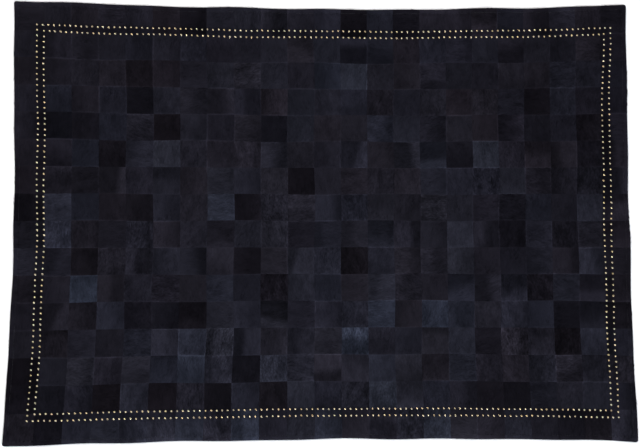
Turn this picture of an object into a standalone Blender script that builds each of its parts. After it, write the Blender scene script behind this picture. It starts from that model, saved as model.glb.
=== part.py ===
"""Cowhide patchwork rug lying flat, hair side up.

Units are metres, +Z is up, +X runs along the rug's length and +Y across it.
The origin is under the middle of the rug, on the floor.

A maker sews square offcuts of hair-on cowhide edge to edge into one sheet, so
the rug is one solid. Each patch stands a little proud of the seams round it.
The outer edge is turned under and stitched down as a hem, which is part of
the same sheet and a little thicker. The sides draw in between the corners,
as leather does where it has been stretched at its corners.
"""
import math
import bpy
import bmesh

# The sheet, measured across its middle.
LENGTH = 2.285
WIDTH = 1.597
# Leather and the short hair lying flat on it.
THICKNESS = 0.005

# Whole patches inside the border, and the border's width on each side.
FIELD_COLUMNS = 21
FIELD_ROWS = 14
BORDER_LEFT = 0.109
BORDER_RIGHT = 0.098
BORDER_FRONT = 0.112
BORDER_BACK = 0.107

# The valley where two patches meet, from its middle to the top of a patch.
SEAM_HALF_WIDTH = 0.0025
SEAM_DEPTH = 0.0010

# The turned edge, and how far it stands above the patches.
HEM_WIDTH = 0.017
HEM_RISE = 0.0008
CORNER_RADIUS = 0.010
CORNER_STEPS = 3

# How far each corner stands out past the middle of its two sides:
# along the length, then across it.
FLARE = {
    "left front": (0.033, 0.013),
    "right front": (0.018, 0.021),
    "left back": (0.014, 0.020),
    "right back": (0.003, 0.030),
}

# The hem wanders in and out in slow waves that fade towards the field.
# Columns: wave length along the edge, height, where the wave starts in turns.
RIPPLES = (
    (0.310, 0.0013, 0.15),
    (0.470, 0.0011, 0.62),
    (0.730, 0.0009, 0.33),
)
RIPPLE_REACH = 0.160

HIDE_COLOUR = (0.018, 0.018, 0.026, 1.0)
HIDE_ROUGHNESS = 0.55
HIDE_METALLIC = 0.0


def clear_scene():
    """Start from an empty scene."""
    for item in list(bpy.data.objects):
        bpy.data.objects.remove(item, do_unlink=True)


def hide_material():
    """Blue-black hair-on cowhide."""
    material = bpy.data.materials.new("blue_black_cowhide")
    material.use_nodes = True
    shader = material.node_tree.nodes["Principled BSDF"]
    shader.inputs["Base Color"].default_value = HIDE_COLOUR
    shader.inputs["Roughness"].default_value = HIDE_ROUGHNESS
    shader.inputs["Metallic"].default_value = HIDE_METALLIC
    return material


def cut_lines(total, before, after, count):
    """Edge, hem line, every seam, hem line and edge of one direction."""
    low = -total / 2
    high = total / 2
    first = low + before
    pitch = (total - before - after) / count
    seams = [first + pitch * step for step in range(count + 1)]
    return [low, low + HEM_WIDTH] + seams + [high - HEM_WIDTH, high]


def patch_grid(mesh, columns, rows):
    """A flat grid whose lines lie on the seams and the hem line."""
    across = len(columns) - 1
    along = len(rows) - 1
    bmesh.ops.create_grid(mesh, x_segments=across, y_segments=along, size=0.5)
    for vert in mesh.verts:
        vert.co.x = columns[round((vert.co.x + 0.5) * across)]
        vert.co.y = rows[round((vert.co.y + 0.5) * along)]


def round_corners(mesh):
    """Cut the four outer corners to a small arc."""
    corners = [vert for vert in mesh.verts if len(vert.link_edges) == 2]
    bmesh.ops.bevel(
        mesh, geom=corners, affect='VERTICES', offset=CORNER_RADIUS,
        offset_type='OFFSET', segments=CORNER_STEPS, profile=0.5, material=-1)


def in_hem(face):
    """Whether a face lies between the hem line and the edge."""
    middle = face.calc_center_median()
    side = LENGTH / 2 - abs(middle.x)
    end = WIDTH / 2 - abs(middle.y)
    return min(side, end) < HEM_WIDTH


def raise_patches(mesh):
    """Lift each patch out of the seams round it, and the hem a little more."""
    patches = list(mesh.faces)
    bmesh.ops.inset_individual(
        mesh, faces=patches, thickness=SEAM_HALF_WIDTH, depth=0.0,
        use_even_offset=True)
    for patch in patches:
        lift = SEAM_DEPTH + (HEM_RISE if in_hem(patch) else 0.0)
        for vert in patch.verts:
            vert.co.z += lift


def ripple(distance):
    """Sideways wander of the edge at a distance along it."""
    return sum(
        height * math.sin(math.tau * (distance / wave + start))
        for wave, height, start in RIPPLES)


def edge_weight(gap):
    """Full strength at the edge, fading to nothing over the ripple's reach."""
    ratio = max(0.0, 1.0 - gap / RIPPLE_REACH)
    return ratio * ratio


def lay_out(vert):
    """Move a point of the straight grid to where the real sheet has it."""
    along = vert.co.x / (LENGTH / 2)
    across = vert.co.y / (WIDTH / 2)
    side = "right" if along > 0 else "left"
    end = "back" if across > 0 else "front"
    out_x, out_y = FLARE[side + " " + end]
    wander_x = ripple(vert.co.y + along * LENGTH) * edge_weight(LENGTH / 2 - abs(vert.co.x))
    wander_y = ripple(vert.co.x + across * WIDTH) * edge_weight(WIDTH / 2 - abs(vert.co.y))
    vert.co.x += along * across * across * out_x + wander_x
    vert.co.y += across * along * along * out_y + wander_y


def close_underside(mesh):
    """Drop the outer edge to the floor and close it with one flat face."""
    rim = [edge for edge in mesh.edges if edge.is_boundary]
    dropped = bmesh.ops.extrude_edge_only(mesh, edges=rim)["geom"]
    base = [item for item in dropped if isinstance(item, bmesh.types.BMVert)]
    for vert in base:
        vert.co.z = 0.0
    base_edges = [edge for edge in mesh.edges if edge.is_boundary]
    bmesh.ops.contextual_create(mesh, geom=base_edges)


def centre_on_floor(mesh):
    """Put the origin under the middle of the sheet's box."""
    xs = [vert.co.x for vert in mesh.verts]
    ys = [vert.co.y for vert in mesh.verts]
    shift = (-(min(xs) + max(xs)) / 2, -(min(ys) + max(ys)) / 2, 0.0)
    bmesh.ops.translate(mesh, verts=mesh.verts[:], vec=shift)


def build_sheet():
    """The whole rug as one closed sheet."""
    columns = cut_lines(LENGTH, BORDER_LEFT, BORDER_RIGHT, FIELD_COLUMNS)
    rows = cut_lines(WIDTH, BORDER_FRONT, BORDER_BACK, FIELD_ROWS)
    mesh = bmesh.new()
    patch_grid(mesh, columns, rows)
    round_corners(mesh)
    raise_patches(mesh)
    rim = [edge for edge in mesh.edges if edge.is_boundary]
    bmesh.ops.bisect_edges(mesh, edges=rim, cuts=1)
    for vert in mesh.verts:
        lay_out(vert)
        vert.co.z += THICKNESS - SEAM_DEPTH
    close_underside(mesh)
    centre_on_floor(mesh)
    bmesh.ops.recalc_face_normals(mesh, faces=mesh.faces[:])
    data = bpy.data.meshes.new("patchwork_hide")
    mesh.to_mesh(data)
    mesh.free()
    sheet = bpy.data.objects.new("patchwork_hide", data)
    bpy.context.scene.collection.objects.link(sheet)
    data.materials.append(hide_material())


clear_scene()
build_sheet()
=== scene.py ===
import math
import bpy
import bmesh
import numpy as np
from mathutils import Matrix, Vector


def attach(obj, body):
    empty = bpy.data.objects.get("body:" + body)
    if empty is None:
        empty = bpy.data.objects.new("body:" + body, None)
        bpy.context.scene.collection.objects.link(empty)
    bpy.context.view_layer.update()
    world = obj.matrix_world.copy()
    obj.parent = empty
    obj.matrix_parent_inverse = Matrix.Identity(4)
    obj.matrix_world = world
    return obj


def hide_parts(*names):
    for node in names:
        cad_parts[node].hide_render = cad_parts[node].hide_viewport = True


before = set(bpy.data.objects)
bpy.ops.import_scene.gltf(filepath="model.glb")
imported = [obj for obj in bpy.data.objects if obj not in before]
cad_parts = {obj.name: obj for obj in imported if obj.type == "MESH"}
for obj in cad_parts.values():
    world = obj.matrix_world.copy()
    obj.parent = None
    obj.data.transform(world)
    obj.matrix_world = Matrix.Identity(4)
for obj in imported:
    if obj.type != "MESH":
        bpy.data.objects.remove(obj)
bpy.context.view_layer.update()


# Camera
# The photo looks down on the rug from a little in front of its middle, with a plain lens. The far
# edge comes out about three parts in a hundred shorter than the near one.
CAMERA_PLACE = (-0.165, -0.184, 3.289)
CAMERA_TILT = (2.99, -2.57, -0.14)
LENS_MM = 50.0
SENSOR_MM = 36.0

camera_data = bpy.data.cameras.new("camera")
camera_data.lens = LENS_MM
camera_data.sensor_width = SENSOR_MM
camera_data.clip_end = 60.0
camera = bpy.data.objects.new("camera", camera_data)
camera.location = CAMERA_PLACE
camera.rotation_euler = [math.radians(angle) for angle in CAMERA_TILT]
bpy.context.scene.collection.objects.link(camera)
bpy.context.scene.camera = camera


# Patchwork sheet
# Square offcuts of hair-on cowhide, two millimetres of leather under short dense hair, butted and
# sewn edge to edge from behind. The outer edge is turned under and stitched down as a hem.
LENGTH = 2.285
WIDTH = 1.597
FIELD_COLUMNS = 21
FIELD_ROWS = 14
BORDER_LEFT = 0.109
BORDER_RIGHT = 0.098
BORDER_FRONT = 0.112
BORDER_BACK = 0.107
HEM_WIDTH = 0.017
CORNER_RADIUS = 0.010
# How far each corner stands out past the middle of its two sides, along the length and across it.
FLARE_X = {"left front": 0.033, "right front": 0.018, "left back": 0.014, "right back": 0.003}
FLARE_Y = {"left front": 0.013, "right front": 0.021, "left back": 0.020, "right back": 0.030}
# Columns: wave length along the edge, height, where the wave starts in turns.
RIPPLES = ((0.310, 0.0013, 0.15), (0.470, 0.0011, 0.62), (0.730, 0.0009, 0.33))
RIPPLE_REACH = 0.160
SEAM_WANDER = 0.0022

# Heights above the floor.
HAIR_MAT_TOP = 0.0040
SEAM_FLOOR = 0.0030
HEM_TOP = 0.0046
FOLD_TOP = 0.0021
FOLD_TUCK = 0.0008
LEATHER_BACK = 0.0008
RIDGE_BOTTOM = 0.0004
PILLOW = 0.0006
LUMP = 0.00018
HEM_GROOVE = 0.0011
HEM_GROOVE_WIDE = 0.0016
FOLD_RADIUS = 0.0050

# The two rows of studs, how the hide's tone changes beside them and at seams, and the painted
# highlight along the edge.
ROW_GAP = 0.0247
STRIP_MARGIN = (0.002, 0.007)
STRIP_TONE = 0.74
SEAM_PALE = 1.05
SEAM_PALE_REACH = 0.0048
RIM_HIGHLIGHT_SIDES = 0.12
RIM_HIGHLIGHT_ENDS = 0.50
RIM_HIGHLIGHT_REACH = 0.022

# Distances from a seam, and from the outer edge, of the mesh lines beside it.
SEAM_CUTS = (0.0, 0.0022, 0.0048, 0.0120, 0.0300)
EDGE_CUTS = (0.0, 0.0007, 0.0020, 0.0045, 0.0100, 0.0148, 0.0170, 0.0192, 0.0300)


def patch_lines(total, before, after, count):
    """Outer edge, every seam and outer edge of one direction."""
    first = -total / 2 + before
    pitch = (total - before - after) / count
    return np.array([-total / 2] + [first + pitch * n for n in range(count + 1)] + [total / 2])


column_lines = patch_lines(LENGTH, BORDER_LEFT, BORDER_RIGHT, FIELD_COLUMNS)
row_lines = patch_lines(WIDTH, BORDER_FRONT, BORDER_BACK, FIELD_ROWS)
COLUMNS = len(column_lines) - 1
ROWS = len(row_lines) - 1


def mesh_lines(lines):
    """Where the mesh is cut in one direction: close beside seams and hem, wide between."""
    places = []
    last = len(lines) - 2
    for number in range(len(lines) - 1):
        low, high = lines[number], lines[number + 1]
        for gap in EDGE_CUTS if number == 0 else SEAM_CUTS:
            places.append(low + gap)
        for gap in reversed(EDGE_CUTS if number == last else SEAM_CUTS):
            places.append(high - gap)
        places.pop()
    places.append(lines[-1])
    return np.array(places)


def waves(distance):
    """The slow in and out of a hand-turned edge."""
    return sum(h * np.sin(math.tau * (distance / wave + start)) for wave, h, start in RIPPLES)


def by_corner(table, x, y):
    """The value of the corner that each place is nearest to."""
    right, back = x > 0, y > 0
    near = np.where(right, table["right front"], table["left front"])
    far = np.where(right, table["right back"], table["left back"])
    return np.where(back, far, near)


def lay_out(x, y):
    """From the straight lattice of patches to the real sheet, drawn in between its corners."""
    along, across = x / (LENGTH / 2), y / (WIDTH / 2)
    gap_x, gap_y = LENGTH / 2 - abs(x), WIDTH / 2 - abs(y)
    arc_x = CORNER_RADIUS - gap_x
    arc_y = CORNER_RADIUS - gap_y
    in_corner = (arc_x > 0) & (arc_y > 0)
    reach = np.maximum(arc_x, arc_y) / np.maximum(np.hypot(arc_x, arc_y), 1e-9)
    pull_x = np.where(in_corner, arc_x * (1 - reach), 0.0)
    pull_y = np.where(in_corner, arc_y * (1 - reach), 0.0)
    near_x = np.clip(1 - gap_x / RIPPLE_REACH, 0, 1) ** 2
    near_y = np.clip(1 - gap_y / RIPPLE_REACH, 0, 1) ** 2
    inside = (1 - near_x) * (1 - near_y) * SEAM_WANDER
    # Inside the sheet the seams wander a little, in slow waves.
    sway_x = np.sin(math.tau * (y / 0.41 + x / 0.9 + 0.10)) * np.sin(math.tau * (x / 0.67 + 0.3))
    sway_y = np.sin(math.tau * (x / 0.53 - y / 1.1 + 0.40)) * np.sin(math.tau * (y / 0.59 + 0.7))
    new_x = x + along * across**2 * by_corner(FLARE_X, x, y) + waves(y + along * LENGTH) * near_x
    new_y = y + across * along**2 * by_corner(FLARE_Y, x, y) + waves(x + across * WIDTH) * near_y
    return new_x - np.sign(x) * pull_x + sway_x * inside, new_y - np.sign(y) * pull_y + sway_y * inside


# What each patch is like. A patch takes its shade from where it lies and from chance, partly the
# hide's own tone and partly painted sheen and shade, as hair lying different ways catches the light
# differently. Some patches are much paler than the rest, most of them towards the front and the
# middle, and some much darker, most of them towards the left and the right.
PATCH_SEED = 41
STANDOUT_SEED = 7
SHADE_SPREAD = 0.15
UNEVEN_SPREAD = 0.04
# How light the least and the most pale or dark patches are against an ordinary one.
PALE_SHARE = (1.30, 2.30)
DARK_SHARE = (0.46, 0.84)
# The chance of such a patch anywhere, the most that its place adds to it, and roughly how far from
# the middle pale ones are common.
PALE_CHANCE = (0.03, 0.52)
DARK_CHANCE = (0.08, 0.20)
MIDDLE_REACH = 0.75
# How much lighter a patch is at one side than at the other, a painted sheen across it: the spread,
# the most, and the share of it that is left on pale and dark patches.
FADE_SPREAD = 0.24
FADE_MOST = 0.42
FADE_LEFT_ON_STANDOUTS = 0.6
# How blue an ordinary patch is, what a paler one adds to that as the cool blue of painted sheen,
# and how far single patches stray in blueness and in warmth.
ORDINARY_BLUE = 0.26
PALE_IS_BLUE = 0.50
BLUE_SPREAD = 0.12
WARM_SPREAD = 0.5
# The broad trend of shade: its level, what the middle and the front add, where that middle lies and
# how wide it is, and what is lost to the right and to the left, with the distance where that starts.
TREND_LEVEL = 0.96
TREND_MIDDLE = 0.24
TREND_FRONT = 0.24
TREND_MIDDLE_PLACE = -0.10
TREND_MIDDLE_WIDE = 0.72
TREND_RIGHT_LOSS = (0.18, 0.35)
TREND_LEFT_LOSS = (0.30, 0.75)
# How far a patch's hair strays from square to its sides, in degrees.
TURN_STRAY = 9
# How far a patch lies above or below the others, and how much it slopes.
PATCH_LEVEL = 0.00035
PATCH_SLOPE = 0.0035
# How much of a seam's parting shows, as its middle value and its spread.
UPRIGHT_SEAM_SHOWS = (0.05, 0.42)
LEVEL_SEAM_SHOWS = (0.20, 0.45)
rng = np.random.default_rng(PATCH_SEED)
middle_x = (column_lines[:-1] + column_lines[1:]) / 2
middle_y = (row_lines[:-1] + row_lines[1:]) / 2
patch_x, patch_y = np.meshgrid(middle_x, middle_y, indexing="ij")
half_x, half_y = np.meshgrid(np.diff(column_lines) / 2, np.diff(row_lines) / 2, indexing="ij")
# The hide is paler and more varied towards the front, a painted sheen from the light at the front
# right, and darkest at the left and the right, as in the photo. Which single patch is pale or dark is
# chance and doesn't follow the photo.
towards_front = np.clip(0.5 - patch_y / WIDTH, 0, 1)
lively = 0.35 + 0.65 * np.clip(0.2 + 0.9 * towards_front + 0.25 * patch_x, 0, 1)
near_middle = np.exp(-((patch_x - TREND_MIDDLE_PLACE) / TREND_MIDDLE_WIDE) ** 2)
region = TREND_LEVEL + TREND_MIDDLE * near_middle + TREND_FRONT * towards_front
right_loss = TREND_RIGHT_LOSS[0] * np.clip(patch_x - TREND_RIGHT_LOSS[1], 0, 1)
left_loss = TREND_LEFT_LOSS[0] * np.clip(-patch_x - TREND_LEFT_LOSS[1], 0, 1)
region -= right_loss + left_loss
patch_light = region * np.exp(rng.normal(0.0, SHADE_SPREAD, patch_x.shape) * lively)
# Each patch's fade of painted sheen: how much lighter it is at one side than at the other.
patch_fade = rng.normal(0.0, FADE_SPREAD, patch_x.shape) * (0.4 + 0.9 * lively)
patch_fade = np.clip(patch_fade, -FADE_MOST, FADE_MOST)
uneven = np.exp(rng.normal(0.0, UNEVEN_SPREAD, patch_x.shape))
# Stand-out patches, partly the hide's own tone: the much paler ones are painted sheen, the much darker ones
# painted shade.
standout_draws = np.random.default_rng(STANDOUT_SEED)
standout_luck = standout_draws.uniform(0, 1, patch_x.shape)
standout_share = standout_draws.uniform(0, 1, patch_x.shape)
to_middle = np.exp(-((patch_x / MIDDLE_REACH) ** 2))
pale = standout_luck < PALE_CHANCE[0] + PALE_CHANCE[1] * towards_front**1.5 * to_middle
dark = standout_luck > 1 - DARK_CHANCE[0] - DARK_CHANCE[1] * (patch_x / (LENGTH / 2)) ** 2
pale_light = PALE_SHARE[0] + (PALE_SHARE[1] - PALE_SHARE[0]) * standout_share**2
dark_light = DARK_SHARE[0] + (DARK_SHARE[1] - DARK_SHARE[0]) * standout_share
patch_light = np.where(pale, pale_light * uneven, np.where(dark, dark_light * uneven, patch_light))
patch_fade = np.where(pale | dark, patch_fade * FADE_LEFT_ON_STANDOUTS, patch_fade)
# Paler patches are painted bluer, the cool blue of painted sheen.
patch_blue = ORDINARY_BLUE + PALE_IS_BLUE * (patch_light - 1.0)
patch_blue = np.clip(patch_blue + rng.normal(0.0, BLUE_SPREAD, patch_x.shape), 0, 1)
patch_warm = rng.normal(0.0, WARM_SPREAD, patch_x.shape)
# How blotched and specked a patch is.
patch_mottle = rng.gamma(2.0, 0.11, patch_x.shape) * (0.5 + 1.2 * lively)
patch_mottle = np.clip(patch_mottle + 0.22 * np.clip(patch_light - 1.3, 0, 1), 0, 1)
# On most patches the hair lies to the back or to the front, on some to one side.
patch_turn = rng.choice([0, 0, 0, 2, 2, 2, 1, 3], patch_x.shape) * math.pi / 2
patch_turn = patch_turn + rng.normal(0.0, math.radians(TURN_STRAY), patch_x.shape)
# Where across a patch its fade of painted sheen has its middle, how far it reaches and which way it runs.
patch_fade_middle = rng.uniform(-0.5, 0.5, patch_x.shape)
patch_fade_reach = rng.choice([0.30, 0.5, 0.9, 1.3], patch_x.shape)
patch_fade_turn = rng.choice([0, 0, 1, 2, 2, 3], patch_x.shape) * math.pi / 2
patch_fade_turn = patch_fade_turn + rng.normal(0.0, 0.18, patch_x.shape)
patch_level = rng.uniform(-PATCH_LEVEL, PATCH_LEVEL, patch_x.shape)
patch_slope = rng.normal(0.0, PATCH_SLOPE, (2,) + patch_x.shape)
# Each patch's streaks start at a place of their own.
patch_shift = rng.uniform(0.0, 50.0, (2,) + patch_x.shape)
# How far each seam's parting shows, for the seams that run from front to back and for the others.
upright_seams = np.clip(rng.normal(*UPRIGHT_SEAM_SHOWS, (COLUMNS + 1, ROWS)), 0, 1)
level_seams = np.clip(rng.normal(*LEVEL_SEAM_SHOWS, (COLUMNS, ROWS + 1)), 0, 1)
upright_seams[[0, -1]] = 0.0
level_seams[:, [0, -1]] = 0.0


def find_patch(x, y):
    """Column and row of the patch that a place of the straight lattice is in."""
    column = np.clip(np.searchsorted(column_lines, x, side="right") - 1, 0, COLUMNS - 1)
    row = np.clip(np.searchsorted(row_lines, y, side="right") - 1, 0, ROWS - 1)
    return column, row


def seam_gap(x, y, patch):
    """Distance to the nearest seam, with the outer edge counted as far away."""
    column, row = patch
    left = np.where(column > 0, x - column_lines[column], 1.0)
    right = np.where(column < COLUMNS - 1, column_lines[column + 1] - x, 1.0)
    front = np.where(row > 0, y - row_lines[row], 1.0)
    back = np.where(row < ROWS - 1, row_lines[row + 1] - y, 1.0)
    return np.minimum(np.minimum(left, right), np.minimum(front, back))


def edge_gap(x, y):
    """Distance in from the rug's outer edge."""
    return np.minimum(LENGTH / 2 - abs(x), WIDTH / 2 - abs(y))


def smooth(low, high, value):
    """Nought below low, one above high, and a smooth step between."""
    share = np.clip((value - low) / (high - low), 0, 1)
    return share * share * (3 - 2 * share)


def hide_height(x, y):
    """Top of the hair mat: sunk at seams, pillowed between, rolled over at the hem's fold."""
    patch = find_patch(x, y)
    gap = seam_gap(x, y, patch)
    edge = edge_gap(x, y)
    side_x, side_y = x - patch_x[patch], y - patch_y[patch]
    level = patch_level[patch] + patch_slope[0][patch] * side_x + patch_slope[1][patch] * side_y
    rise = HAIR_MAT_TOP - SEAM_FLOOR + level + PILLOW * smooth(0.0, 0.035, gap)
    # Low lumps three or four centimetres long.
    rise = rise + LUMP * np.sin(x * 190 + 7 * np.sin(y * 41)) * np.sin(y * 170 + 5 * np.sin(x * 37))
    height = SEAM_FLOOR + rise * smooth(-0.0006, 0.0042, gap)
    height = height + (HEM_TOP - HAIR_MAT_TOP) * smooth(0.019, 0.014, edge) * smooth(0.0, 0.004, gap)
    groove = HEM_GROOVE * np.exp(-(((edge - HEM_WIDTH) / HEM_GROOVE_WIDE) ** 2))
    roll = np.sqrt(np.clip(1 - (1 - np.clip(edge / FOLD_RADIUS, 0, 1)) ** 2, 0, 1))
    return FOLD_TOP + (height - groove - FOLD_TOP) * roll


def seam_line(x, y, patch):
    """How much of the paler roots shows where the hair parts at a seam."""
    column, row = patch
    sides = (
        (x - column_lines[column], upright_seams[column, row]),
        (column_lines[column + 1] - x, upright_seams[column + 1, row]),
        (y - row_lines[row], level_seams[column, row]),
        (row_lines[row + 1] - y, level_seams[column, row + 1]))
    line = sum(shown * np.clip(1 - gap / SEAM_PALE_REACH, 0, 1) for gap, shown in sides)
    broken = 0.7 + 0.3 * np.sin(x * 83 + 2 * np.sin(y * 31)) * np.sin(y * 77 + x * 19)
    return np.minimum(line, 1.0) * broken


def patch_facts(x, y, patch):
    """What the hair's colour nodes read at places on the patches, as three attributes' values."""
    side_x, side_y = x - patch_x[patch], y - patch_y[patch]
    # Painted highlight along the fold, where the hair stands open and catches the light, most at the
    # front and the back.
    rim = 1 + RIM_HIGHLIGHT_SIDES * np.exp((abs(x) - LENGTH / 2) / RIM_HIGHLIGHT_REACH)
    rim = rim + RIM_HIGHLIGHT_ENDS * np.exp((abs(y) - WIDTH / 2) / RIM_HIGHLIGHT_REACH)
    outside = np.maximum.reduce([
        column_lines[1] - x, x - column_lines[-2], row_lines[1] - y, y - row_lines[-2]])
    turn = patch_turn[patch]
    along = -np.sin(turn) * side_x + np.cos(turn) * side_y + patch_shift[0][patch]
    across = np.cos(turn) * side_x + np.sin(turn) * side_y + patch_shift[1][patch]
    # The fade of painted sheen across the patch.
    fade_turn = patch_fade_turn[patch]
    fade_at = (np.cos(fade_turn) * side_x + np.sin(fade_turn) * side_y) / half_x[patch]
    light = patch_light[patch] * rim
    tone = np.stack([light, patch_blue[patch], patch_mottle[patch], np.ones_like(side_x)], -1)
    way = np.stack([across, along, patch_warm[patch]], -1)
    middle, reach = patch_fade_middle[patch], patch_fade_reach[patch]
    fade = np.stack([(fade_at - middle) / reach, patch_fade[patch], outside], -1)
    return {"patch_tone": tone, "hair_way": way, "patch_fade": fade}


def store(mesh, domain, facts):
    """Writes the colour nodes' attributes to a mesh."""
    for name, values in facts.items():
        kind, key = ("FLOAT_COLOR", "color") if values.shape[1] == 4 else ("FLOAT_VECTOR", "vector")
        mesh.attributes.new(name, kind, domain).data.foreach_set(key, values.ravel())


def grid_of(mesh, xs, ys, height):
    """A flat bmesh grid with its lines at the given places."""
    made = bmesh.ops.create_grid(mesh, x_segments=len(xs) - 1, y_segments=len(ys) - 1, size=0.5)["verts"]
    for vert in made:
        column = round((vert.co.x + 0.5) * (len(xs) - 1))
        row = round((vert.co.y + 0.5) * (len(ys) - 1))
        vert.co = (xs[column], ys[row], height)


def build_sheet():
    """Hair side, fold, turned-under hem and leather side as one closed mesh."""
    mesh = bmesh.new()
    grid_of(mesh, mesh_lines(column_lines), mesh_lines(row_lines), 0.0)
    for face in mesh.faces:
        face.material_index = 1
    grown = bmesh.ops.extrude_face_region(mesh, geom=mesh.faces[:], use_keep_orig=True)["geom"]
    for item in grown:
        if isinstance(item, bmesh.types.BMVert):
            item.co.z = 1.0
        elif isinstance(item, bmesh.types.BMFace):
            item.material_index = 0
    for face in mesh.faces:
        face.smooth = True
        if face.material_index == 1 and face.calc_center_median().z > 0.1:
            face.material_index = 0
    bmesh.ops.recalc_face_normals(mesh, faces=mesh.faces[:])
    data = bpy.data.meshes.new("patchwork_sheet")
    mesh.to_mesh(data)
    mesh.free()
    return data


def back_height(x, y):
    """The leather side: flat hem, a step up inside it, and a ridge of sewn allowances at seams."""
    gap = seam_gap(x, y, find_patch(x, y))
    inside = smooth(HEM_WIDTH, HEM_WIDTH + 0.0015, edge_gap(x, y))
    return inside * (LEATHER_BACK - (LEATHER_BACK - RIDGE_BOTTOM) * smooth(0.0030, 0.0010, gap))


sheet_mesh = build_sheet()
count = len(sheet_mesh.vertices)
places = np.zeros(count * 3)
sheet_mesh.vertices.foreach_get("co", places)
places = places.reshape(-1, 3)
straight = places[:, :2].copy()
on_top = places[:, 2] > 0.5
new_x, new_y = lay_out(straight[:, 0], straight[:, 1])
SHIFT_X = -(new_x.min() + new_x.max()) / 2
SHIFT_Y = -(new_y.min() + new_y.max()) / 2
# The fold is round, so the sheet's lowest edge stands in from its widest one.
tuck = np.where(~on_top, FOLD_TUCK * smooth(0.0012, 0.0, edge_gap(straight[:, 0], straight[:, 1])), 0.0)
tuck_x = tuck * np.where(LENGTH / 2 - abs(straight[:, 0]) < 1e-5, np.sign(straight[:, 0]), 0.0)
tuck_y = tuck * np.where(WIDTH / 2 - abs(straight[:, 1]) < 1e-5, np.sign(straight[:, 1]), 0.0)
top_heights = hide_height(straight[:, 0], straight[:, 1])
heights = np.where(on_top, top_heights, back_height(straight[:, 0], straight[:, 1]))
laid = np.stack([new_x + SHIFT_X - tuck_x, new_y + SHIFT_Y - tuck_y, heights], -1)

loops = len(sheet_mesh.loops)
loop_vert = np.zeros(loops, np.int32)
sheet_mesh.loops.foreach_get("vertex_index", loop_vert)
starts = np.zeros(len(sheet_mesh.polygons), np.int32)
totals = np.zeros(len(sheet_mesh.polygons), np.int32)
sheet_mesh.polygons.foreach_get("loop_start", starts)
sheet_mesh.polygons.foreach_get("loop_total", totals)
face_of_loop = np.repeat(np.arange(len(starts)), totals)
centre_x = np.bincount(face_of_loop, straight[loop_vert, 0]) / totals
centre_y = np.bincount(face_of_loop, straight[loop_vert, 1]) / totals
loop_patch = find_patch(centre_x[face_of_loop], centre_y[face_of_loop])
sheet_mesh.vertices.foreach_set("co", laid.ravel())
sheet_facts = patch_facts(straight[loop_vert, 0], straight[loop_vert, 1], loop_patch)
parting = seam_line(straight[loop_vert, 0], straight[loop_vert, 1], loop_patch)
sheet_facts["patch_tone"][:, 0] *= 1 + SEAM_PALE * parting
store(sheet_mesh, "CORNER", sheet_facts)
sheet_mesh.update()
sheet = bpy.data.objects.new("patchwork_sheet", sheet_mesh)
bpy.context.scene.collection.objects.link(sheet)


def colour(code):
    """An sRGB hex colour as linear light."""
    parts = [int(code[i:i + 2], 16) / 255 for i in (1, 3, 5)]
    return [c / 12.92 if c <= 0.04045 else ((c + 0.055) / 1.055) ** 2.4 for c in parts] + [1.0]


def add_node(material, kind, settings=None, **inputs):
    """Adds one node to a material, with its settings, and its inputs as values or as links."""
    tree = material.node_tree
    made = tree.nodes.new(kind)
    for name, value in (settings or {}).items():
        setattr(made, name, value)
    for key, value in inputs.items():
        name = key.replace("_", " ")
        socket = made.inputs[int(name[2:])] if name.startswith("at") else made.inputs[name]
        if isinstance(value, bpy.types.NodeSocket):
            tree.links.new(value, socket)
        else:
            socket.default_value = value
    return made


def new_material(name):
    """A material with an empty node tree."""
    material = bpy.data.materials.new(name)
    material.use_nodes = True
    material.node_tree.nodes.clear()
    return material


def maths(material, operation, first, second=0.0, third=0.0):
    """One math node's result."""
    made = add_node(
        material, "ShaderNodeMath", {"operation": operation}, at0=first, at1=second, at2=third)
    return made.outputs[0]


def vector_maths(material, operation, **inputs):
    """One vector math node's result."""
    return add_node(material, "ShaderNodeVectorMath", {"operation": operation}, **inputs).outputs[0]


def mixed(material, factor, first, second):
    """Two colours mixed by a factor."""
    made = add_node(
        material, "ShaderNodeMix", {"data_type": "RGBA"}, Factor=factor, at6=first, at7=second)
    return made.outputs[2]


def noise(material, place, scale, **inputs):
    """A noise pattern's value, from the size of its features in metres."""
    made = add_node(material, "ShaderNodeTexNoise", Vector=place, Scale=1 / scale, **inputs)
    return made.outputs[0]


def attribute(material, name, output="Vector"):
    """What a mesh attribute holds."""
    return add_node(material, "ShaderNodeAttribute", {"attribute_name": name}).outputs[output]


def between(material, value, low, high, new_low, new_high):
    """A value mapped from one range to another and held inside it."""
    made = add_node(material, "ShaderNodeMapRange", {"interpolation_type": "SMOOTHSTEP"}, Value=value)
    ends = (("From Min", low), ("From Max", high), ("To Min", new_low), ("To Max", new_high))
    for name, number in ends:
        made.inputs[name].default_value = number
    return made.outputs[0]


def streaks(material, way, across, along, detail, rough):
    """Noise drawn out along the hair, from its width and its length in metres."""
    drawn = vector_maths(material, "MULTIPLY", at0=way, at1=(1 / across, 1 / along, 0.0))
    return noise(material, drawn, 1.0, Detail=detail, Roughness=rough)


# Hair-on cowhide, dyed blue-black: dark short hair lying one way in a swaying flow, nearly without
# gloss, with streaks along it and clouds and specks where the dye took unevenly. Real hairs are about
# a tenth of a millimetre thick, and the streaks are drawn coarser so that they show.
STREAK_LONG = 0.030
STREAK_WIDE = 0.0034
STREAK_SHADE = (0.92, 1.08)
FINE_LONG = 0.018
FINE_WIDE = 0.0013
FINE_SHADE = (0.95, 1.05)
STRAND_LONG = 0.010
STRAND_WIDE = 0.0005
STRAND_SHADE = (0.78, 1.22)
CLOUD = 0.034
CLOUD_SHADE = (0.62, 1.52)
SPECK = 0.0085
SPECK_SHADE = (0.64, 1.45)
FLOW = 0.050
FLOW_SWAY = 0.016
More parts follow.
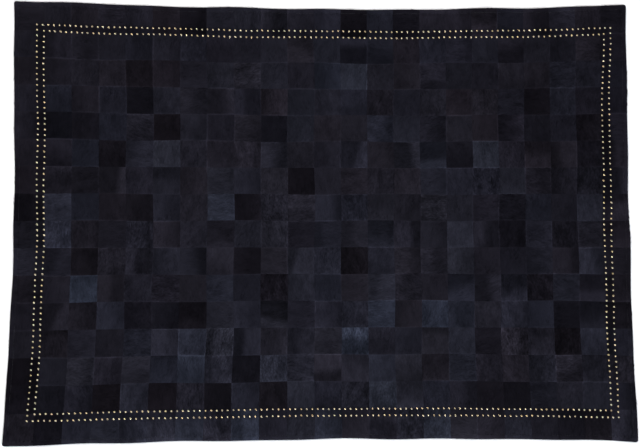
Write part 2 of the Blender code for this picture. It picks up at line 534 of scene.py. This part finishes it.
# Multipliers of red, green and blue.
COLD_TINT = (0.96, 1.0, 1.03, 1.0)
WARM_TINT = (1.065, 1.0, 0.945, 1.0)
HAIR_ROUGHNESS = (0.54, 0.68)
HAIR_GLOSS = 0.010
HAIR_RELIEF = 0.0006
hair = new_material("dyed_cowhide_hair")
tone = add_node(hair, "ShaderNodeSeparateColor", Color=attribute(hair, "patch_tone", "Color"))
light, blue, mottle = tone.outputs[0], tone.outputs[1], tone.outputs[2]
straight_way = attribute(hair, "hair_way")
warm = add_node(hair, "ShaderNodeSeparateXYZ", Vector=straight_way).outputs[2]
flow = add_node(hair, "ShaderNodeTexNoise", Vector=straight_way, Scale=1 / FLOW, Detail=1.0).outputs[1]
flow = vector_maths(hair, "SUBTRACT", at0=flow, at1=(0.5, 0.5, 0.5))
flow = vector_maths(hair, "SCALE", at0=flow, Scale=FLOW_SWAY)
way = vector_maths(hair, "ADD", at0=straight_way, at1=flow)
broad = streaks(hair, way, STREAK_WIDE, STREAK_LONG, 2.0, 0.55)
fine = streaks(hair, way, FINE_WIDE, FINE_LONG, 1.0, 0.5)
strand = streaks(hair, way, STRAND_WIDE, STRAND_LONG, 1.0, 0.5)
cloud = streaks(hair, way, CLOUD * 0.8, CLOUD * 1.4, 3.0, 0.6)
speck = streaks(hair, way, SPECK * 0.7, SPECK * 1.5, 2.0, 0.6)
streak_part = between(hair, broad, 0.30, 0.72, *STREAK_SHADE)
fine_part = between(hair, fine, 0.25, 0.75, *FINE_SHADE)
strand_part = between(hair, strand, 0.25, 0.75, *STRAND_SHADE)
# Across the patch: fade.outputs holds where the fade of painted sheen is, how strong it is, and the
# distance outside the inner row of studs.
fade = add_node(hair, "ShaderNodeSeparateXYZ", Vector=attribute(hair, "patch_fade"))
fade_at = between(hair, fade.outputs[0], -1.0, 1.0, -1.0, 1.0)
fade_part = maths(hair, "MULTIPLY_ADD", fade_at, fade.outputs[1], 1.0)
cloud_strength = maths(hair, "MULTIPLY_ADD", mottle, 0.8, 0.25)
cloud_part = maths(hair, "POWER", between(hair, cloud, 0.30, 0.70, *CLOUD_SHADE), cloud_strength)
speck_part = maths(hair, "POWER", between(hair, speck, 0.32, 0.68, *SPECK_SHADE), mottle)
level = light
for part in (streak_part, fine_part, strand_part, cloud_part, speck_part, fade_part):
    level = maths(hair, "MULTIPLY", level, part)
# The strip between the two rows of studs is darker.
strip_start = between(hair, fade.outputs[2], -STRIP_MARGIN[1], -STRIP_MARGIN[0], 0.0, 1.0)
strip_end = between(
    hair, fade.outputs[2], ROW_GAP + STRIP_MARGIN[0], ROW_GAP + STRIP_MARGIN[1], 1.0, 0.0)
strip = maths(hair, "MULTIPLY", strip_start, strip_end)
level = maths(hair, "MULTIPLY", level, maths(hair, "MULTIPLY_ADD", strip, STRIP_TONE - 1, 1.0))
hue = mixed(hair, blue, colour("#151319"), colour("#13151C"))
tint = mixed(hair, between(hair, warm, -1.0, 1.0, 0.0, 1.0), COLD_TINT, WARM_TINT)
hue = vector_maths(hair, "MULTIPLY", at0=hue, at1=tint)
base = vector_maths(hair, "SCALE", at0=hue, Scale=level)
relief = maths(hair, "MULTIPLY_ADD", strand, 0.35, maths(hair, "MULTIPLY_ADD", fine, 0.6, broad))
hair_bump = add_node(hair, "ShaderNodeBump", Strength=0.75, Distance=HAIR_RELIEF, Height=relief)
hair_shader = add_node(
    hair, "ShaderNodeBsdfPrincipled", Base_Color=base, Normal=hair_bump.outputs[0],
    Roughness=between(hair, broad, 0.3, 0.7, *HAIR_ROUGHNESS))
hair_shader.inputs["IOR"].default_value = 1.5
hair_shader.inputs["Specular IOR Level"].default_value = HAIR_GLOSS
add_node(hair, "ShaderNodeOutputMaterial", Surface=hair_shader.outputs[0])

# The leather side: matt brushed suede, dyed through to a dull grey-brown, with a fine nap and faint
# blotches.
NAP = 0.004
BLOTCH = 0.12
suede = new_material("flesh_side_suede")
suede_place = add_node(suede, "ShaderNodeTexCoord").outputs["Object"]
nap = noise(suede, suede_place, NAP, Detail=4.0, Roughness=0.65)
blotch = noise(suede, suede_place, BLOTCH, Detail=2.0)
suede_hue = mixed(suede, between(suede, blotch, 0.3, 0.7, 0.0, 1.0), colour("#5A5048"), colour("#6B6055"))
suede_base = vector_maths(suede, "SCALE", at0=suede_hue, Scale=between(suede, nap, 0.3, 0.7, 0.8, 1.15))
suede_bump = add_node(suede, "ShaderNodeBump", Strength=0.4, Distance=0.0004, Height=nap)
suede_shader = add_node(
    suede, "ShaderNodeBsdfPrincipled", Base_Color=suede_base, Roughness=0.95,
    Normal=suede_bump.outputs[0])
suede_shader.inputs["Specular IOR Level"].default_value = 0.2
add_node(suede, "ShaderNodeOutputMaterial", Surface=suede_shader.outputs[0])
sheet_mesh.materials.append(hair)
sheet_mesh.materials.append(suede)
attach(sheet, "root")
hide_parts("patchwork_hide")


# Studs
# Small domed nail heads of pale polished brass, pushed through the hide in two rows: the inner row
# along the seam between field and border, the outer row 25 millimetres outside it.
STUD_RADIUS = 0.0034
STUD_HEIGHT = 0.0022
STUD_BASE = 0.0036
STUD_SIDES = 12
# How far a stud strays from its place, how much it tilts in degrees, and how much sizes differ.
STUD_STRAY = 0.00045
STUD_TILT = 4
STUD_UNEVEN = 0.03
OUTER_COUNT = (107, 72)
INNER_COUNT = (105, 70)
# How far outside its line each side of a row was set: left, right, front, back.
OUTER_STRAY = (0.0009, 0.0040, 0.0017, -0.0027)
INNER_STRAY = (0.0006, 0.0022, 0.0019, -0.0017)
# Both rows swing out to the right towards the back right corner, over this much of each side.
CORNER_SWING = 0.0085
SWING_REACH = (0.25, 0.26)


def stud_places(out, counts, stray):
    """Middles of the studs of one row, on the straight lattice."""
    left, right = column_lines[1] - out - stray[0], column_lines[-2] + out + stray[1]
    front, back = row_lines[1] - out - stray[2], row_lines[-2] + out + stray[3]
    xs = np.linspace(left, right, counts[0])
    ys = np.linspace(front, back, counts[1])[1:-1]
    ring = [(x, y) for x in xs for y in (front, back)] + [(x, y) for y in ys for x in (left, right)]
    ring = np.array(ring)
    near_right = smooth(right - SWING_REACH[0], right, ring[:, 0])
    near_back = smooth(back - SWING_REACH[1], back, ring[:, 1])
    ring[:, 0] += CORNER_SWING * near_right * near_back
    return ring


def stud_shape():
    """One domed head, turned from its profile."""
    mesh = bmesh.new()
    profile = [(1.0, 0.0), (0.97, 0.30), (0.80, 0.68), (0.45, 0.93), (0.0, 1.0)]
    points = [mesh.verts.new((r * STUD_RADIUS, 0.0, z * STUD_HEIGHT)) for r, z in profile]
    edges = [mesh.edges.new(pair) for pair in zip(points, points[1:])]
    bmesh.ops.spin(
        mesh, geom=points + edges, cent=(0, 0, 0), axis=(0, 0, 1), angle=math.tau,
        steps=STUD_SIDES, use_merge=True)
    bmesh.ops.remove_doubles(mesh, verts=mesh.verts[:], dist=1e-6)
    rim = [edge for edge in mesh.edges if edge.is_boundary]
    bmesh.ops.contextual_create(mesh, geom=rim)
    bmesh.ops.recalc_face_normals(mesh, faces=mesh.faces[:])
    for face in mesh.faces:
        face.smooth = len(face.verts) < STUD_SIDES
    data = bpy.data.meshes.new("stud_shape")
    mesh.to_mesh(data)
    mesh.free()
    return data


def copies_of(shape, name, transforms):
    """One mesh with a copy of a shape at each transform."""
    mesh = bmesh.new()
    for matrix in transforms:
        placed = shape.copy()
        placed.transform(matrix)
        mesh.from_mesh(placed)
        bpy.data.meshes.remove(placed)
    data = bpy.data.meshes.new(name)
    mesh.to_mesh(data)
    mesh.free()
    made = bpy.data.objects.new(name, data)
    bpy.context.scene.collection.objects.link(made)
    return made


def studs(name, out, counts, stray):
    """A whole row of studs, each a little off its place and tilted with the hide."""
    ring = stud_places(out, counts, stray) + rng.normal(0.0, STUD_STRAY, (2 * sum(counts) - 4, 2))
    xs, ys = lay_out(ring[:, 0], ring[:, 1])
    tilts = rng.normal(0.0, math.radians(STUD_TILT), (len(ring), 2))
    sizes = rng.normal(1.0, STUD_UNEVEN, len(ring))
    transforms = [
        Matrix.Translation((x + SHIFT_X, y + SHIFT_Y, STUD_BASE))
        @ Matrix.Rotation(tilt[0], 4, "X") @ Matrix.Rotation(tilt[1], 4, "Y") @ Matrix.Scale(size, 4)
        for x, y, tilt, size in zip(xs, ys, tilts, sizes)]
    made = copies_of(one_stud, name, transforms)
    made.data.materials.append(brass)
    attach(made, "root")
    return made, ring


# Pale brass, machine polished then handled: bright, a little blurred, yellower on some heads.
HEAD_TO_HEAD = 0.030
SCUFF = 0.0012
brass = new_material("pale_polished_brass")
brass_place = add_node(brass, "ShaderNodeTexCoord").outputs["Object"]
head = noise(brass, brass_place, HEAD_TO_HEAD, Detail=1.0)
scuff = noise(brass, brass_place, SCUFF, Detail=2.0)
brass_hue = mixed(brass, between(brass, head, 0.40, 0.62, 0.0, 1.0), colour("#D6C7A8"), colour("#DABF92"))
brass_bump = add_node(brass, "ShaderNodeBump", Strength=0.15, Distance=0.0001, Height=scuff)
brass_shader = add_node(
    brass, "ShaderNodeBsdfPrincipled", Base_Color=brass_hue, Metallic=1.0,
    Roughness=between(brass, scuff, 0.3, 0.7, 0.22, 0.36), Normal=brass_bump.outputs[0])
add_node(brass, "ShaderNodeOutputMaterial", Surface=brass_shader.outputs[0])
one_stud = stud_shape()
outer_studs, outer_ring = studs("studs_outer_row", ROW_GAP, OUTER_COUNT, OUTER_STRAY)
inner_studs, inner_ring = studs("studs_inner_row", 0.0, INNER_COUNT, INNER_STRAY)
bpy.data.meshes.remove(one_stud)


# Hair
# Locks of short hair lying flat over the hide, each patch in its own direction, because the
# offcuts were turned any way when they were sewn. Locks end near their patch's seams.
LOCK_LONG = (0.014, 0.024)
LOCK_WIDE = (0.0018, 0.0032)
LOCK_THICK = 0.0009
LOCK_SUNK = 0.0007
LOCKS_PER_PATCH = 430
STUD_CLEAR = 0.0052
# How far a lock's tip may pass its patch's seam, and the rug's edge.
OVER_SEAM = 0.0015
OVER_EDGE = 0.0026
# How near to a seam and to the edge a lock may have its root.
ROOT_OFF_SEAM = 0.0012
ROOT_OFF_EDGE = 0.0015
# How far locks swirl and stray from their patch's direction, in radians.
SWIRL = 0.16
LOCK_STRAY = 0.13
# How far a lock rises towards its tip, in degrees, and rolls on its length, in radians.
LOCK_LIFT = (1.6, 4.4)
LOCK_ROLL = 0.12
LOCK_TONE_SPREAD = 0.10


def lock_shape():
    """A lock as a low three-sided spike, one unit long, with its root at the origin."""
    mesh = bmesh.new()
    bmesh.ops.create_cone(
        mesh, cap_ends=True, cap_tris=False, segments=3, radius1=0.577, radius2=0.0, depth=1.0)
    bmesh.ops.translate(mesh, verts=mesh.verts[:], vec=(0, 0, 0.5))
    lying = Matrix.Rotation(-math.pi / 2, 3, "X")
    bmesh.ops.rotate(mesh, verts=mesh.verts[:], cent=(0, 0, 0), matrix=lying)
    bmesh.ops.recalc_face_normals(mesh, faces=mesh.faces[:])
    data = bpy.data.meshes.new("lock_shape")
    mesh.to_mesh(data)
    mesh.free()
    return bpy.data.objects.new("lock_shape", data)


def clear_of_studs(x, y):
    """Whether each place is clear of every stud's head."""
    clear = np.ones(len(x), bool)
    for ring in (outer_ring, inner_ring):
        low, high = ring.min(0), ring.max(0)
        band = np.minimum.reduce([abs(x - low[0]), abs(x - high[0]), abs(y - low[1]), abs(y - high[1])])
        near = np.nonzero(clear & (band < STUD_CLEAR + CORNER_SWING + 0.003))[0]
        for part in np.array_split(near, max(1, len(near) // 4000)):
            away = (x[part, None] - ring[:, 0]) ** 2 + (y[part, None] - ring[:, 1]) ** 2
            clear[part] &= away.min(1) > STUD_CLEAR**2
    return clear


def lock_roots():
    """Patch, root, direction and size of every lock, and which locks are kept, as arrays."""
    total = COLUMNS * ROWS * LOCKS_PER_PATCH
    column = np.repeat(np.arange(COLUMNS), ROWS * LOCKS_PER_PATCH)
    row = np.tile(np.repeat(np.arange(ROWS), LOCKS_PER_PATCH), COLUMNS)
    patch = (column, row)
    x = patch_x[patch] + rng.uniform(-1, 1, total) * half_x[patch]
    y = patch_y[patch] + rng.uniform(-1, 1, total) * half_y[patch]
    swirl = np.sin(x * 61 + patch_shift[0][patch]) + np.sin(y * 53 + patch_shift[1][patch])
    turn = patch_turn[patch] + SWIRL * swirl + rng.normal(0.0, LOCK_STRAY, total)
    long = rng.uniform(*LOCK_LONG, total)
    wide = rng.uniform(*LOCK_WIDE, total)
    tip_x, tip_y = x - np.sin(turn) * long, y + np.cos(turn) * long
    over_x = abs(tip_x - patch_x[patch]) - half_x[patch]
    over_y = abs(tip_y - patch_y[patch]) - half_y[patch]
    over = np.maximum(over_x, over_y)
    past_edge = over - np.maximum(-edge_gap(tip_x, tip_y), 0.0) < 1e-6
    keep = over < np.where(past_edge, OVER_EDGE, OVER_SEAM)
    keep &= seam_gap(x, y, patch) > ROOT_OFF_SEAM
    keep &= edge_gap(x, y) > ROOT_OFF_EDGE
    for at_x, at_y in ((x, y), (tip_x, tip_y), ((x + tip_x) / 2, (y + tip_y) / 2)):
        keep &= clear_of_studs(at_x, at_y)
    return patch, x, y, turn, long, wide, keep


def hair_nodes(lock):
    """Geometry nodes that lay a lock at each root and make the copies real."""
    tree = bpy.data.node_groups.new("lay_hair", "GeometryNodeTree")
    tree.interface.new_socket("Geometry", in_out="INPUT", socket_type="NodeSocketGeometry")
    tree.interface.new_socket("Geometry", in_out="OUTPUT", socket_type="NodeSocketGeometry")
    start, end = tree.nodes.new("NodeGroupInput"), tree.nodes.new("NodeGroupOutput")
    roots = tree.nodes.new("GeometryNodeMeshToPoints")
    copy = tree.nodes.new("GeometryNodeInstanceOnPoints")
    source = tree.nodes.new("GeometryNodeObjectInfo")
    source.inputs["Object"].default_value = lock
    real = tree.nodes.new("GeometryNodeRealizeInstances")
    for name, socket in (("lock_turn", "Rotation"), ("lock_size", "Scale")):
        read = tree.nodes.new("GeometryNodeInputNamedAttribute")
        read.data_type = "FLOAT_VECTOR"
        read.inputs["Name"].default_value = name
        tree.links.new(read.outputs["Attribute"], copy.inputs[socket])
    tree.links.new(start.outputs[0], roots.inputs["Mesh"])
    tree.links.new(roots.outputs[0], copy.inputs["Points"])
    tree.links.new(source.outputs["Geometry"], copy.inputs["Instance"])
    tree.links.new(copy.outputs[0], real.inputs[0])
    tree.links.new(real.outputs[0], end.inputs[0])
    return tree


def map_from_above(data):
    """A map drawn from straight above, so that a bake keeps each lock's colour where it lies."""
    corners = np.zeros(len(data.loops), np.int32)
    data.loops.foreach_get("vertex_index", corners)
    places = np.zeros(len(data.vertices) * 3)
    data.vertices.foreach_get("co", places)
    flat = places.reshape(-1, 3)[corners, :2]
    flat = (flat - flat.min(0)) / np.ptp(flat, axis=0)
    data.uv_layers.new(name="OFBake").data.foreach_set("uv", flat.ravel())


def lay_hair(name, part, tree):
    """One area of the hair coat as a finished mesh."""
    patch = (root_patch[0][part], root_patch[1][part])
    x, y = root_x[part], root_y[part]
    facts = patch_facts(x, y, patch)
    facts["patch_tone"][:, 0] *= np.exp(rng.normal(0.0, LOCK_TONE_SPREAD, len(x)))
    new_x, new_y = lay_out(x, y)
    height = hide_height(x, y) - LOCK_SUNK
    points = bpy.data.meshes.new(name)
    points.vertices.add(len(x))
    laid = np.stack([new_x + SHIFT_X, new_y + SHIFT_Y, height], -1)
    points.vertices.foreach_set("co", laid.ravel())
    lift = rng.uniform(*LOCK_LIFT, len(x)) * math.pi / 180
    roll = rng.normal(0.0, LOCK_ROLL, len(x))
    turn = np.stack([lift, roll, root_turn[part]], -1)
    size = np.stack([root_wide[part], root_long[part], np.full(len(x), LOCK_THICK)], -1)
    store(points, "POINT", {**facts, "lock_turn": turn, "lock_size": size})
    seed = bpy.data.objects.new(name, points)
    bpy.context.scene.collection.objects.link(seed)
    seed.modifiers.new("lay_hair", "NODES").node_group = tree
    seen = seed.evaluated_get(bpy.context.evaluated_depsgraph_get())
    data = bpy.data.meshes.new_from_object(seen)
    data.name = name
    for label in ("lock_turn", "lock_size"):
        if label in data.attributes:
            data.attributes.remove(data.attributes[label])
    bpy.data.objects.remove(seed)
    map_from_above(data)
    made = bpy.data.objects.new(name, data)
    bpy.context.scene.collection.objects.link(made)
    data.materials.clear()
    data.materials.append(hair)
    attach(made, "root")
    return made


root_patch, root_x, root_y, root_turn, root_long, root_wide, root_keep = lock_roots()
lock = lock_shape()
bpy.context.scene.collection.objects.link(lock)
hair_tree = hair_nodes(lock)
for name, part in (
        ("hair_left_front", (root_x < 0) & (root_y < 0)),
        ("hair_right_front", (root_x >= 0) & (root_y < 0)),
        ("hair_left_back", (root_x < 0) & (root_y >= 0)),
        ("hair_right_back", (root_x >= 0) & (root_y >= 0))):
    lay_hair(name, np.nonzero(part & root_keep)[0], hair_tree)
bpy.data.objects.remove(lock)


# Hem stitching
# Black waxed thread, sewn through the turned edge in a straight line of short stitches, each
# one pulled down into the hair.
STITCH_LONG = 0.0034
STITCH_THICK = 0.0009
STITCH_PITCH = 0.0050
STITCH_LIFT = 0.0002
TWIST = 0.0006
# Black waxed thread: nearly black, a little shiny, with the twist of its plies showing as a fine
# lighter and darker grain.
thread = new_material("black_waxed_thread")
thread_place = add_node(thread, "ShaderNodeTexCoord").outputs["Object"]
twist = noise(thread, thread_place, TWIST, Detail=1.0)
thread_hue = mixed(thread, twist, colour("#141418"), colour("#2C2C33"))
thread_bump = add_node(thread, "ShaderNodeBump", Strength=0.3, Distance=0.0002, Height=twist)
thread_shader = add_node(
    thread, "ShaderNodeBsdfPrincipled", Base_Color=thread_hue, Roughness=0.55,
    Normal=thread_bump.outputs[0])
add_node(thread, "ShaderNodeOutputMaterial", Surface=thread_shader.outputs[0])


def stitch_shape():
    """One stitch: a small rounded bar along X."""
    mesh = bmesh.new()
    bmesh.ops.create_icosphere(mesh, subdivisions=1, radius=0.5)
    bmesh.ops.scale(mesh, verts=mesh.verts[:], vec=(STITCH_LONG, STITCH_THICK, STITCH_THICK * 0.8))
    for face in mesh.faces:
        face.smooth = True
    data = bpy.data.meshes.new("stitch_shape")
    mesh.to_mesh(data)
    mesh.free()
    return data


def stitch_places():
    """Place and direction of each stitch round the hem line."""
    reach_x, reach_y = LENGTH / 2 - HEM_WIDTH, WIDTH / 2 - HEM_WIDTH
    found = []
    for reach, along_x in ((reach_x, True), (reach_y, False)):
        count = round(2 * reach / STITCH_PITCH)
        shares = (np.arange(count) + 0.5) / count * 2 - 1
        for side in (-1, 1):
            for share in shares:
                on_long_side = (share * reach_x, side * reach_y, 0.0)
                on_short_side = (side * reach_x, share * reach_y, math.pi / 2)
                found.append(on_long_side if along_x else on_short_side)
    return np.array(found)


line = stitch_places()
stitch_x, stitch_y = lay_out(line[:, 0], line[:, 1])
stitch_z = hide_height(line[:, 0], line[:, 1])
one_stitch = stitch_shape()
stitches = copies_of(one_stitch, "hem_stitches", [
    Matrix.Translation((x + SHIFT_X, y + SHIFT_Y, z + STITCH_LIFT)) @ Matrix.Rotation(turn, 4, "Z")
    for x, y, z, turn in zip(stitch_x, stitch_y, stitch_z, line[:, 2])])
bpy.data.meshes.remove(one_stitch)
stitches.data.materials.append(thread)
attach(stitches, "root")


# Seam sewing
# Every seam is sewn from the leather side with a flat zigzag of the same thread, which holds the
# butted edges of the offcuts together.
ZIGZAG_STEP = 0.0060
ZIGZAG_WIDE = 0.0042
ZIGZAG_THICK = 0.0005
ZIGZAG_LIFT = 0.00005
ZIGZAG_OFF_HEM = 0.004


def zigzag_shape():
    """One leg of the zigzag: a thin three-sided bar along X, one unit long."""
    mesh = bmesh.new()
    bmesh.ops.create_cone(
        mesh, cap_ends=True, cap_tris=False, segments=3, radius1=ZIGZAG_THICK / 2, radius2=ZIGZAG_THICK / 2,
        depth=1.0, matrix=Matrix.Rotation(math.pi / 2, 4, "Y"))
    bmesh.ops.recalc_face_normals(mesh, faces=mesh.faces[:])
    data = bpy.data.meshes.new("zigzag_shape")
    mesh.to_mesh(data)
    mesh.free()
    return data


def zigzag_corners(start, end):
    """The places where one seam's thread turns, on the straight lattice."""
    count = round(math.dist(start, end) / ZIGZAG_STEP)
    shares = np.linspace(0, 1, count + 1)[:, None]
    places = np.array(start) * (1 - shares) + np.array(end) * shares
    aside = np.array([start[1] - end[1], end[0] - start[0]]) / math.dist(start, end)
    swing = np.where(np.arange(count + 1) % 2, 0.5, -0.5)[:, None] * ZIGZAG_WIDE
    return places + aside * swing


side = LENGTH / 2 - HEM_WIDTH - ZIGZAG_OFF_HEM
end = WIDTH / 2 - HEM_WIDTH - ZIGZAG_OFF_HEM
legs = []
for seam in column_lines[1:-1]:
    legs.append(zigzag_corners((seam, -end), (seam, end)))
for seam in row_lines[1:-1]:
    legs.append(zigzag_corners((-side, seam), (side, seam)))
zigzag_matrices = []
for corners in legs:
    turn_x, turn_y = lay_out(corners[:, 0], corners[:, 1])
    for n in range(len(corners) - 1):
        ahead = Vector((turn_x[n + 1] - turn_x[n], turn_y[n + 1] - turn_y[n]))
        leg_x = (turn_x[n + 1] + turn_x[n]) / 2 + SHIFT_X
        leg_y = (turn_y[n + 1] + turn_y[n]) / 2 + SHIFT_Y
        zigzag_matrices.append(
            Matrix.Translation((leg_x, leg_y, ZIGZAG_THICK / 2 + ZIGZAG_LIFT))
            @ Matrix.Rotation(math.atan2(ahead.y, ahead.x), 4, "Z")
            @ Matrix.Scale(ahead.length, 4, (1, 0, 0)))
one_leg = zigzag_shape()
sewing = copies_of(one_leg, "seam_sewing", zigzag_matrices)
bpy.data.meshes.remove(one_leg)
sewing.data.materials.append(thread)
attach(sewing, "root")


# Floor, light and air
# A plain pale floor under soft light from two wide panels far off, in a pale room with a dim
# ceiling.
FLOOR_SIZE = 90.0
FLOOR_DROP = 0.0003
WALL_LIGHT = 0.85
CEILING_LIGHT = 0.10
floor_mesh = bmesh.new()
bmesh.ops.create_grid(floor_mesh, x_segments=1, y_segments=1, size=FLOOR_SIZE / 2)
bmesh.ops.translate(floor_mesh, verts=floor_mesh.verts[:], vec=(0, 0, -FLOOR_DROP))
floor_data = bpy.data.meshes.new("floor")
floor_mesh.to_mesh(floor_data)
floor_mesh.free()
floor = bpy.data.objects.new("floor", floor_data)
bpy.context.scene.collection.objects.link(floor)
floor_paint = new_material("pale_floor")
floor_shader = add_node(floor_paint, "ShaderNodeBsdfPrincipled", Base_Color=colour("#F4F3F4"), Roughness=0.9)
floor_shader.inputs["Specular IOR Level"].default_value = 0.1
add_node(floor_paint, "ShaderNodeOutputMaterial", Surface=floor_shader.outputs[0])
floor_data.materials.append(floor_paint)


def soft_light(name, place, strength, spread, tint):
    """A far soft light, as wide as a spread in degrees, aimed at the rug from the given side."""
    data = bpy.data.lights.new(name, "SUN")
    data.energy = strength
    data.angle = math.radians(spread)
    data.color = tint
    made = bpy.data.objects.new(name, data)
    made.location = place
    made.rotation_euler = (-Vector(place)).to_track_quat("-Z", "Y").to_euler()
    bpy.context.scene.collection.objects.link(made)


# Name, place, strength, spread in degrees and colour of each light.
soft_light("front_right_light", (4.8, -6.6, 4.6), 4.6, 28.0, (0.90, 0.95, 1.0))
soft_light("back_left_light", (-6.0, 6.3, 4.6), 3.8, 28.0, (1.0, 0.98, 0.96))
# Pale walls all round under a dim ceiling.
world = bpy.data.worlds.new("room")
world.use_nodes = True
world_way = add_node(world, "ShaderNodeTexCoord").outputs["Generated"]
world_rise = add_node(world, "ShaderNodeSeparateXYZ", Vector=world_way).outputs[2]
room = world.node_tree.nodes["Background"]
room.inputs["Color"].default_value = (0.95, 0.97, 1.0, 1.0)
room_light = between(world, world_rise, 0.02, 0.32, WALL_LIGHT, CEILING_LIGHT)
world.node_tree.links.new(room_light, room.inputs["Strength"])
bpy.context.scene.world = world
bpy.context.scene.view_settings.view_transform = "Standard"
